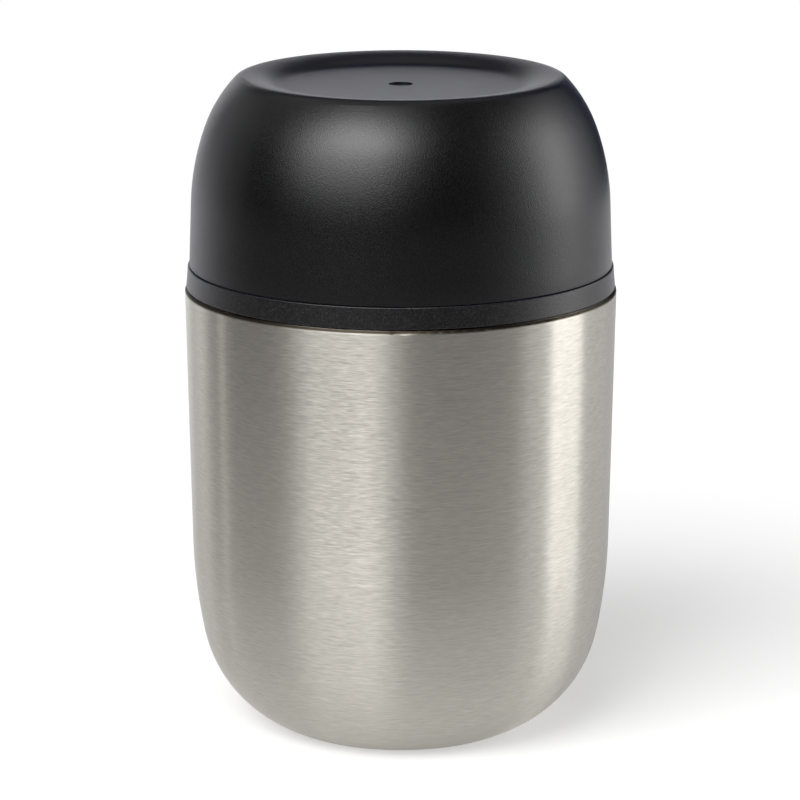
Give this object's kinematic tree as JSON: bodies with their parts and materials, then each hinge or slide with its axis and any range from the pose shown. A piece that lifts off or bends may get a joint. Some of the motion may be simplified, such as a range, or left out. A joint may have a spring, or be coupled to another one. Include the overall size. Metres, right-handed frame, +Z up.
{
  "type": "insulated food jar",
  "caption": "Vacuum-walled steel food jar with a rounded base, a screw-on inner lid with a vent button, and a domed plastic cup with a sunk top.",
  "frame": {"origin": "centre of the base, on the surface that the jar stands on", "axes": "+Z up along the jar's axis, +X and +Y across it"},
  "size_m": [0.0956, 0.0956, 0.1468],
  "materials": {
    "brushed_steel_skin": "fine brushing round the jar, satin",
    "steel_inner": "drawn and electropolished, semi-bright",
    "base_steel": "turned satin",
    "foil": "bright foil",
    "glass_bead": "fused solder glass",
    "getter_metal": "sintered, matt",
    "black_plastic": "fine spark texture, matt",
    "lid_plastic": "fine satin",
    "plug_plastic": "smooth satin",
    "button_plastic": "smooth satin",
    "liner_plastic": "smooth satin",
    "silicone": "soft, translucent grey",
    "foam": "closed-cell foam",
    "spring_steel": "drawn wire"
  },
  "bodies": {
    "flask": {"outer_shell": "brushed_steel_skin", "inner_vessel": "steel_inner", "heat_shield": "foil", "vacuum_bottom": "steel_inner", "vacuum_seal": "glass_bead", "getter": "getter_metal", "base_cover": "base_steel"},
    "rim_gasket": {"rim_gasket": "silicone"},
    "plug_seal": {"plug_seal": "silicone"},
    "inner_lid": {"lid_body": "black_plastic", "lid_cover": "lid_plastic", "plug_pan": "plug_plastic", "insulation_core": "foam", "vent_spring": "spring_steel"},
    "vent": {"vent_button": "button_plastic", "vent_stem": "plug_plastic", "vent_valve": "silicone"},
    "cup_seal": {"cup_seal": "silicone"},
    "cup": {"cup_shell": "black_plastic", "cup_liner": "liner_plastic"}
  },
  "joints": [
    {"name": "lid_lift", "type": "slide", "parent": "flask", "child": "rim_gasket", "axis": [0, 0, 1], "range_m": [0, 0.08]},
    {"name": "lid_rise", "type": "slide", "parent": "rim_gasket", "child": "plug_seal", "axis": [0, 0, 1], "range_m": [0, 0.005]},
    {"name": "lid_turn", "type": "hinge", "parent": "plug_seal", "child": "inner_lid", "pos_m": [0, 0, 0.1106], "axis": [0, 0, 1], "range_deg": [0, 450]},
    {"name": "vent_press", "type": "slide", "parent": "inner_lid", "child": "vent", "axis": [0, 0, -1], "range_m": [0, 0.0025], "stiffness_N_per_m": 300, "springref_m": -0.004, "deforming": ["vent_spring"]},
    {"name": "cup_lift", "type": "slide", "parent": "inner_lid", "child": "cup_seal", "axis": [0, 0, 1], "range_m": [0, 0.06]},
    {"name": "cup_turn", "type": "hinge", "parent": "cup_seal", "child": "cup", "pos_m": [0, 0, 0.10472], "axis": [0, 0, 1], "range_deg": [0, 60]}
  ],
  "couplings": [
    {"joint": "lid_rise", "follows": "lid_turn", "m_per_rad": 0.00063661}
  ]
}
